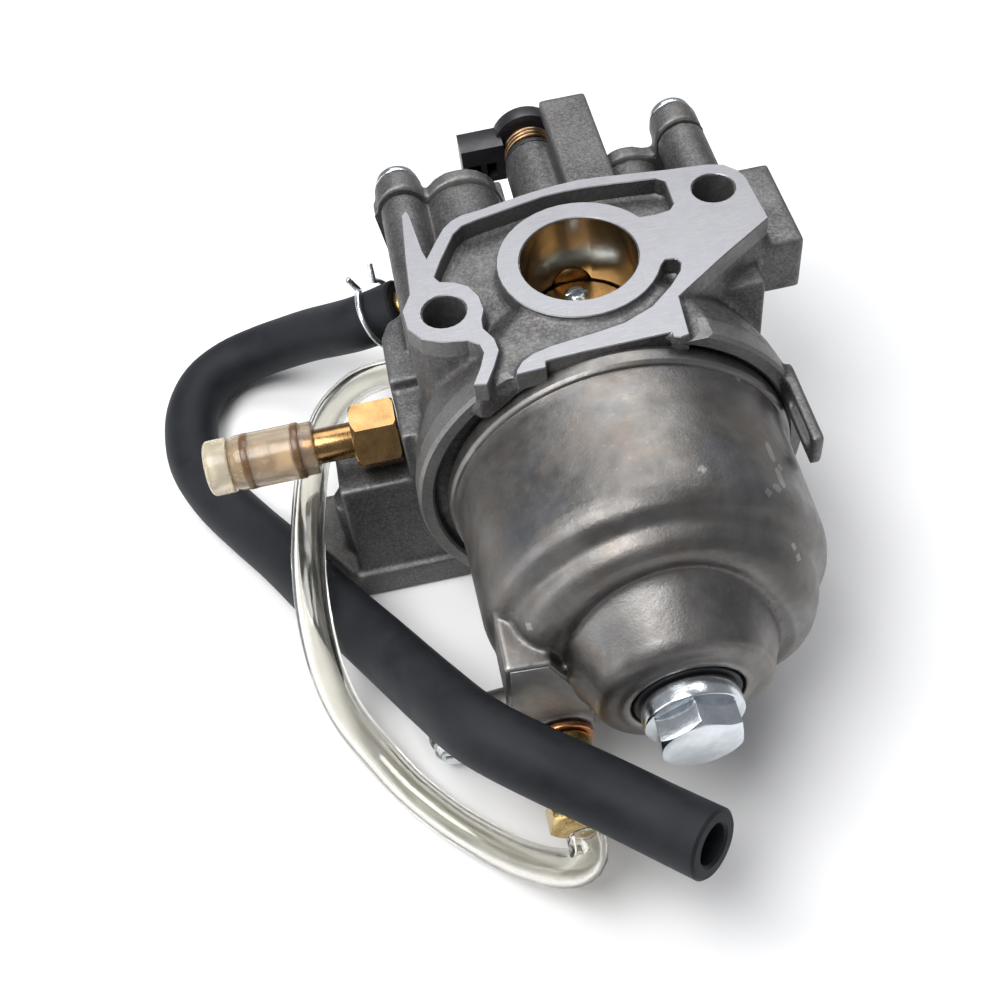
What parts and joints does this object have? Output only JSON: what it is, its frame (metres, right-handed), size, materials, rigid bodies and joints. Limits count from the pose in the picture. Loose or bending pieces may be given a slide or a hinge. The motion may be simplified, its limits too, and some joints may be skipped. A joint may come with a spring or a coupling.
{
  "type": "carburetor",
  "caption": "Small-engine float-bowl carburetor with throttle, choke, float and needle, fuel hose, clear vent tube and side union.",
  "frame": {"origin": "on the ground under the middle of the part's box, hoses and clamp left out", "axes": "+Z out of the engine flange along the intake bore, -Y towards the float bowl's bolt, +X to the right of both"},
  "size_m": [0.1005, 0.12, 0.0505],
  "materials": {
    "cast_aluminium": "die-cast, satin, slightly dusty; the engine flange and its collar are milled bright",
    "bowl_aluminium": "dark passivated pressed metal, satin, lightly scuffed",
    "zinc_steel": "bright zinc plate",
    "brass": "turned brass",
    "yellow_zinc": "yellow-passivated steel",
    "copper": "soft copper washer",
    "steel": "plain steel",
    "spring_steel": "tempered spring wire",
    "nitrile": "matt black rubber",
    "black_plastic": "moulded black plastic",
    "clear_vinyl": "clear vinyl, faintly yellow",
    "vinyl_cap": "milky vinyl",
    "gasket_paper": "dark gasket sheet"
  },
  "bodies": {
    "casting": {"main_body": "cast_aluminium", "top_cover": "cast_aluminium", "top_cover_gasket": "gasket_paper", "cover_screw_left": "zinc_steel", "cover_screw_right": "zinc_steel", "cover_screw_rear": "zinc_steel", "float_bowl": "bowl_aluminium", "bowl_gasket": "nitrile", "bowl_bolt": "zinc_steel", "bowl_bolt_washer": "nitrile", "drain_nipple": "brass", "drain_washer": "copper", "float_hinge_pin": "steel", "needle_seat": "brass", "main_nozzle": "brass", "main_jet": "brass", "pilot_jet": "brass", "throttle_shaft_seal": "nitrile", "idle_speed_spring": "zinc_steel", "mixture_screw_spring": "zinc_steel", "fuel_inlet_nipple": "brass", "fuel_hose": "nitrile", "hose_clamp": "zinc_steel", "vent_nipple": "brass", "vent_tube": "clear_vinyl", "side_union": "yellow_zinc", "union_cap": "vinyl_cap", "union_plug": "vinyl_cap"},
    "throttle": {"throttle_shaft": "brass", "throttle_plate": "brass", "throttle_plate_screw_upper": "zinc_steel", "throttle_plate_screw_lower": "zinc_steel", "throttle_lever": "black_plastic", "throttle_return_spring": "spring_steel"},
    "choke": {"choke_shaft": "steel", "choke_plate": "brass", "choke_plate_screw": "zinc_steel", "choke_lever": "steel"},
    "float": {"float": "black_plastic"},
    "needle": {"float_needle": "steel"},
    "idle_screw": {"idle_speed_screw": "zinc_steel"},
    "mixture_screw_body": {"mixture_screw": "brass"},
    "drain_screw_body": {"drain_screw": "zinc_steel"}
  },
  "joints": [
    {"name": "throttle_turn", "type": "hinge", "parent": "casting", "child": "throttle", "pos_m": [0.01285, 0.0089, 0.0385], "axis": [0, 1, 0], "range_deg": [0, 75], "stiffness_Nm_per_rad": 0.02},
    {"name": "choke_turn", "type": "hinge", "parent": "casting", "child": "choke", "pos_m": [0.01285, 0.0089, 0.011], "axis": [0, 1, 0], "range_deg": [0, 76]},
    {"name": "float_swing", "type": "hinge", "parent": "casting", "child": "float", "pos_m": [0.02975, -0.0073, 0.0256], "axis": [0, 0, 1], "range_deg": [0, 5]},
    {"name": "needle_slide", "type": "slide", "parent": "casting", "child": "needle", "axis": [0, -1, 0], "range_m": [0, 0.00044]},
    {"name": "idle_screw_turn", "type": "hinge", "parent": "casting", "child": "idle_screw", "pos_m": [0.00485, 0.0499, 0.0157], "axis": [0, 0, 1], "range_deg": [-360, 360]},
    {"name": "mixture_screw_turn", "type": "hinge", "parent": "casting", "child": "mixture_screw_body", "pos_m": [0.03245, 0.0329, 0.013], "axis": [0, 1, 0], "range_deg": [-360, 360]},
    {"name": "drain_screw_turn", "type": "hinge", "parent": "casting", "child": "drain_screw_body", "pos_m": [-0.01655, -0.0361, 0.0049], "axis": [0, -1, 0], "range_deg": [-360, 360]}
  ],
  "couplings": [
    {"joint": "needle_slide", "follows": "float_swing", "m_per_rad": 0.005}
  ]
}
